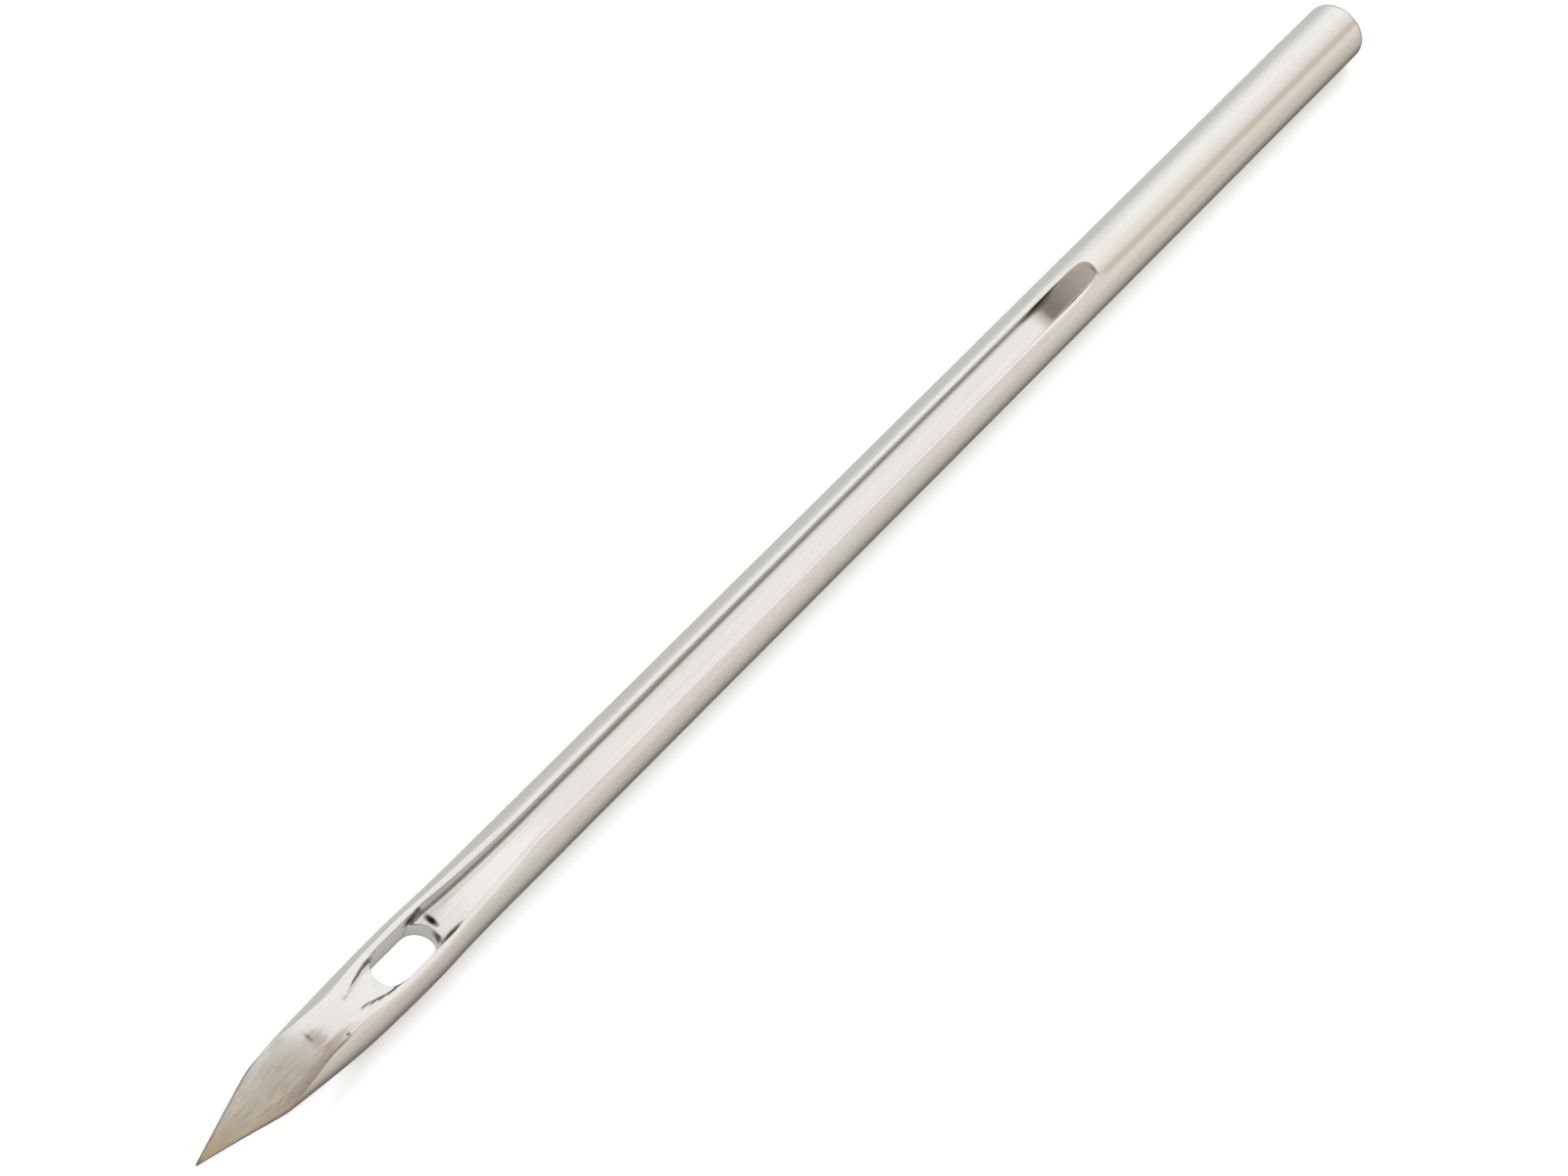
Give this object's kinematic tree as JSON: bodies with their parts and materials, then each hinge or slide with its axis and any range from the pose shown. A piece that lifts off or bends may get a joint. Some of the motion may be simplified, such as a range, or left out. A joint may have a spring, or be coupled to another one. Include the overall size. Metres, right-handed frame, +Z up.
{
  "type": "sewing awl needle",
  "caption": "Straight steel sewing awl needle with a round shank, a long thread groove, an eye near the point and a ground spear point.",
  "frame": {"origin": "centre of the butt's flat end, on the shank's axis", "axes": "+X along the needle from the point to the butt, +Z up through the eye on the side of the long thread groove"},
  "size_m": [0.0692, 0.0026, 0.0024],
  "materials": {
    "polished_steel": "satin"
  },
  "bodies": {
    "root": {"needle": "polished_steel"}
  },
  "joints": []
}
